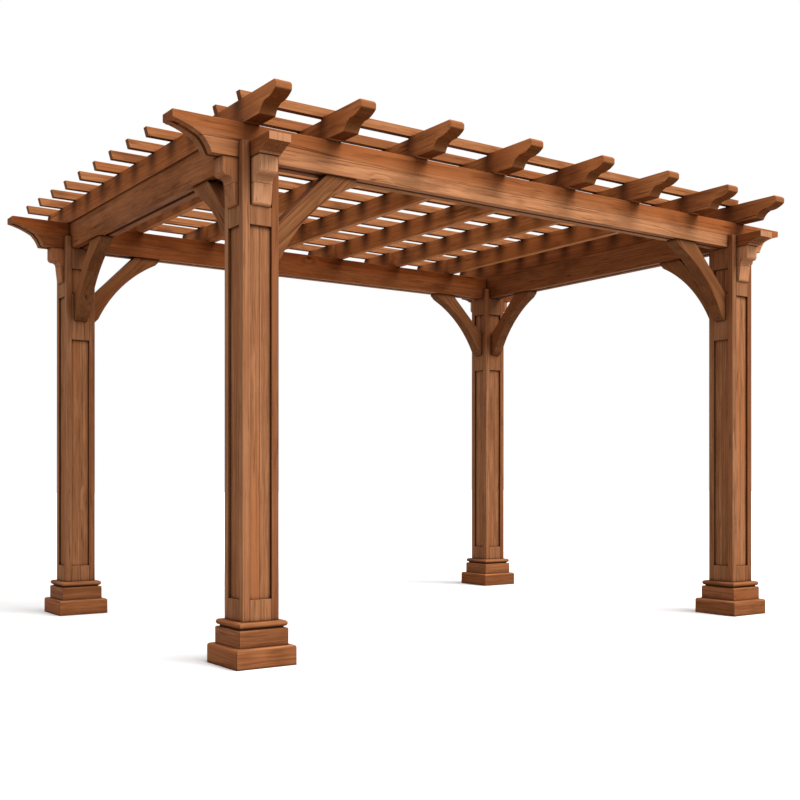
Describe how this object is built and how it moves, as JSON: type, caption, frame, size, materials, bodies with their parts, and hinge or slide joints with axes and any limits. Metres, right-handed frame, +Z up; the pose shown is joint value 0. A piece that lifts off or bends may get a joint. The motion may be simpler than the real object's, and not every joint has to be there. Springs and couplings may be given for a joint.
{
  "type": "garden pergola",
  "caption": "Open timber garden pergola: panelled box columns on moulded plinths, arched knee braces, built-up beams with shaped ends, rafters and a layer of shade slats.",
  "frame": {"origin": "on the ground, midway between the four columns", "axes": "+X along the long beams, +Y from the front beam to the back beam, +Z up"},
  "size_m": [4.206, 3.109, 2.617],
  "materials": {
    "plinth_timber": "satin stained softwood, sawn grain visible",
    "stile_timber": "satin stained softwood, sawn grain visible",
    "panel_timber": "satin stained softwood, sawn grain visible",
    "beam_timber": "satin stained softwood, sawn grain visible",
    "brace_timber": "satin stained softwood, sawn grain visible",
    "rafter_timber": "satin stained softwood, sawn grain visible",
    "slat_timber": "satin stained softwood, sawn grain visible"
  },
  "bodies": {
    "root": {"plinth_front_left": "plinth_timber", "plinth_front_right": "plinth_timber", "plinth_back_right": "plinth_timber", "plinth_back_left": "plinth_timber", "cap_front_left": "plinth_timber", "cap_front_right": "plinth_timber", "cap_back_right": "plinth_timber", "cap_back_left": "plinth_timber", "stiles_front_left": "stile_timber", "stiles_front_right": "stile_timber", "stiles_back_right": "stile_timber", "stiles_back_left": "stile_timber", "panels_front_left": "panel_timber", "panels_front_right": "panel_timber", "panels_back_right": "panel_timber", "panels_back_left": "panel_timber", "blocks_front_left": "stile_timber", "blocks_front_right": "stile_timber", "blocks_back_right": "stile_timber", "blocks_back_left": "stile_timber", "corbels_front_left": "brace_timber", "corbels_front_right": "brace_timber", "corbels_back_right": "brace_timber", "corbels_back_left": "brace_timber", "beam_front": "beam_timber", "beam_back": "beam_timber", "beam_left": "beam_timber", "beam_right": "beam_timber", "brace_front_left_x": "brace_timber", "brace_front_right_x": "brace_timber", "brace_back_right_x": "brace_timber", "brace_back_left_x": "brace_timber", "brace_front_left_y": "brace_timber", "brace_front_right_y": "brace_timber", "brace_back_right_y": "brace_timber", "brace_back_left_y": "brace_timber", "rafter_1": "rafter_timber", "rafter_2": "rafter_timber", "rafter_3": "rafter_timber", "rafter_4": "rafter_timber", "rafter_5": "rafter_timber", "rafter_6": "rafter_timber", "rafter_7": "rafter_timber", "rafter_8": "rafter_timber", "slats": "slat_timber"}
  },
  "joints": []
}
